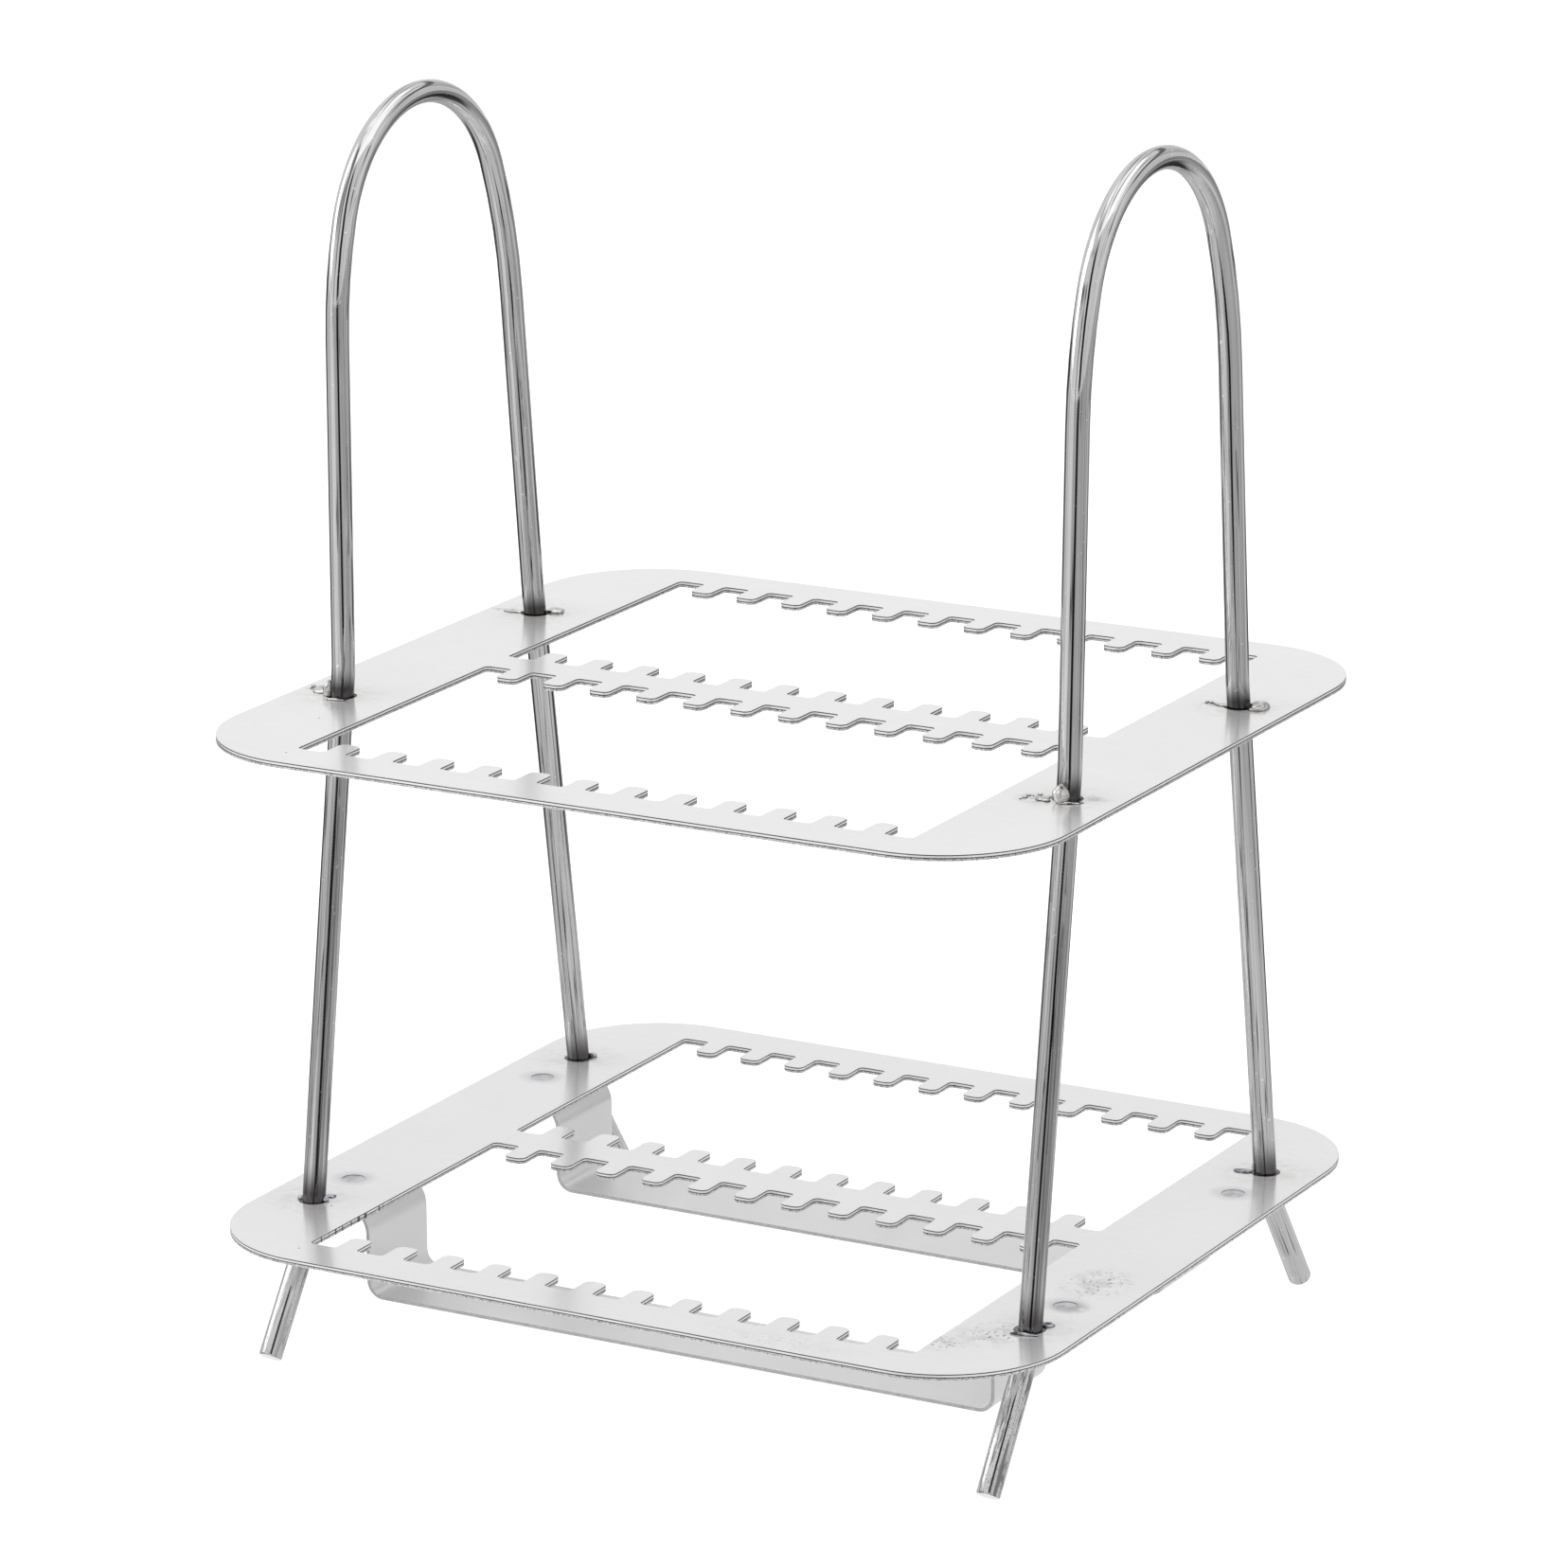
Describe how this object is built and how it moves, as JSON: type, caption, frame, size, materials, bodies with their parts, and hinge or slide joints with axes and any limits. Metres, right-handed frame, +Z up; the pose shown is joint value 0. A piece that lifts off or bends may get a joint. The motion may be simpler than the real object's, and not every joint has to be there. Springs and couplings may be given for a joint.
{
  "type": "slide staining rack",
  "caption": "Tiered sheet-metal rack with facing comb edges that hold glass slides upright over bent support strips, on tall bent-rod hoops that are both handles and feet.",
  "frame": {"origin": "on the surface that the feet stand on, midway between the hoops and between the front and rear edges", "axes": "+X along the comb rows towards the right hoop, +Y from the front edge to the rear edge, +Z up"},
  "size_m": [0.0698, 0.0648, 0.0951],
  "materials": {
    "sheet": "satin",
    "rod": "polished",
    "strip": "satin",
    "weld": "as welded",
    "spot_weld": "as welded, slightly blued"
  },
  "bodies": {
    "root": {"top_plate": "sheet", "lower_plate": "sheet", "left_hoop": "rod", "right_hoop": "rod", "front_support_strip": "strip", "rear_support_strip": "strip", "left_hoop_top_welds": "weld", "left_hoop_lower_welds": "weld", "right_hoop_top_welds": "weld", "right_hoop_lower_welds": "weld", "front_strip_spot_welds": "spot_weld", "rear_strip_spot_welds": "spot_weld"}
  },
  "joints": []
}
